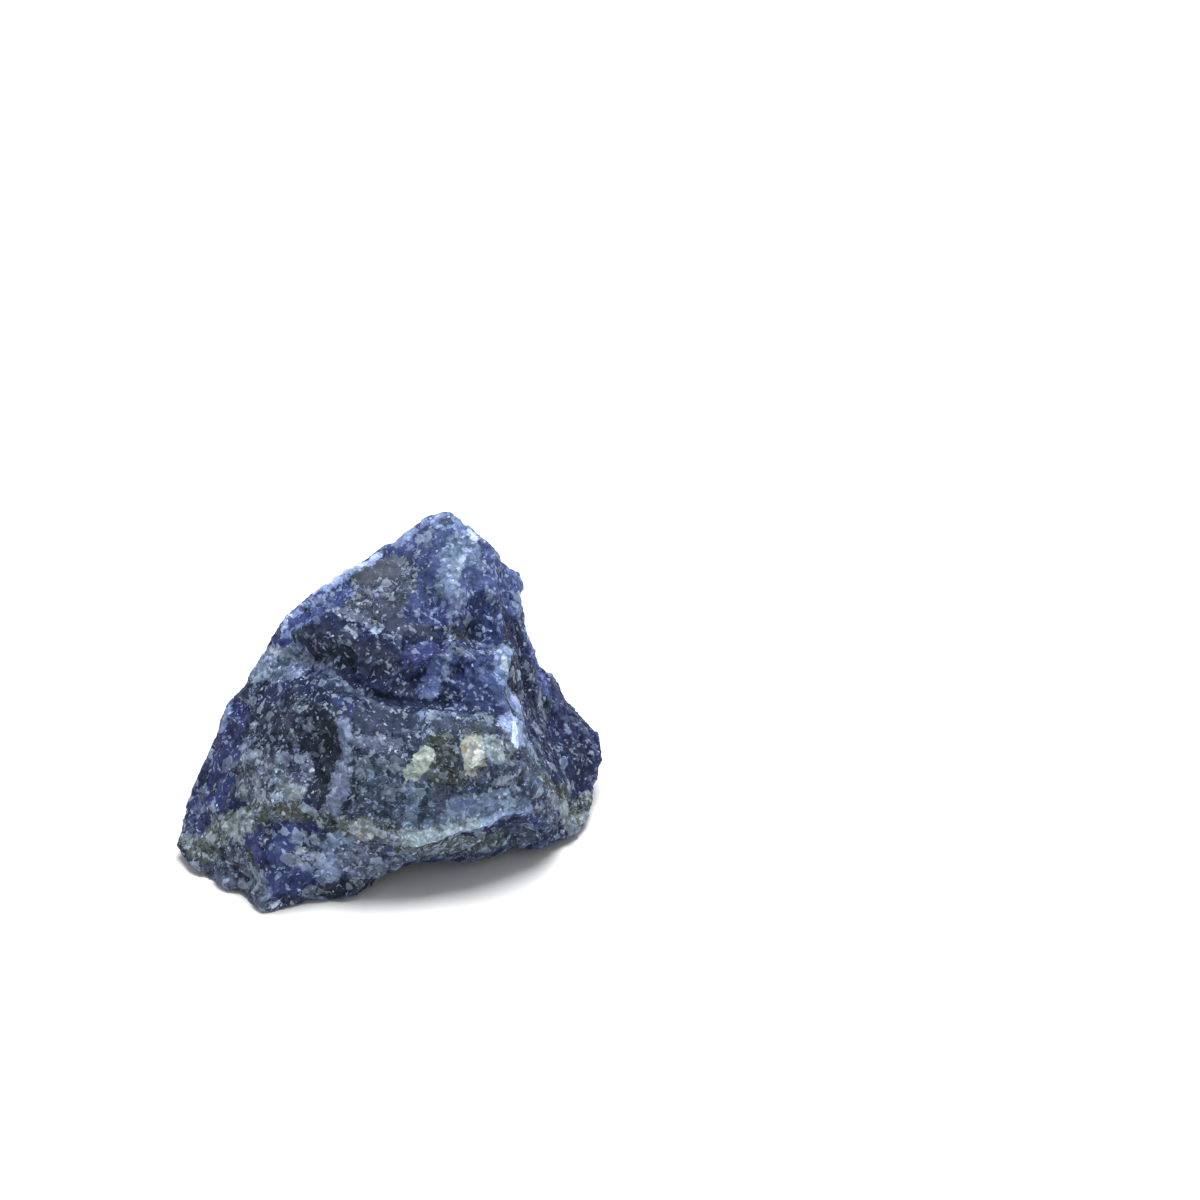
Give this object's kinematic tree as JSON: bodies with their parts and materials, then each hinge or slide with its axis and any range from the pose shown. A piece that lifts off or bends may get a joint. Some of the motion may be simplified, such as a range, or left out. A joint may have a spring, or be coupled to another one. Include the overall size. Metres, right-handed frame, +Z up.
{
  "type": "rough sodalite stone",
  "caption": "Palm-sized rough lump of blue sodalite with broken faces, a ledge under a tilted slab and pale veins, resting on a small flat spot underneath.",
  "frame": {"origin": "middle of the stone's own box, on the surface it rests on", "axes": "+Z up, +X along the stone's longest way, -Y towards the side with the ledge and the pale crystals"},
  "size_m": [0.055, 0.0436, 0.0425],
  "materials": {
    "sodalite": "freshly broken rock: navy and charcoal with cobalt patches, grey flecks, pale veins and cream crystals, half dull and half glassy"
  },
  "bodies": {
    "root": {"sodalite_stone": "sodalite"}
  },
  "joints": []
}
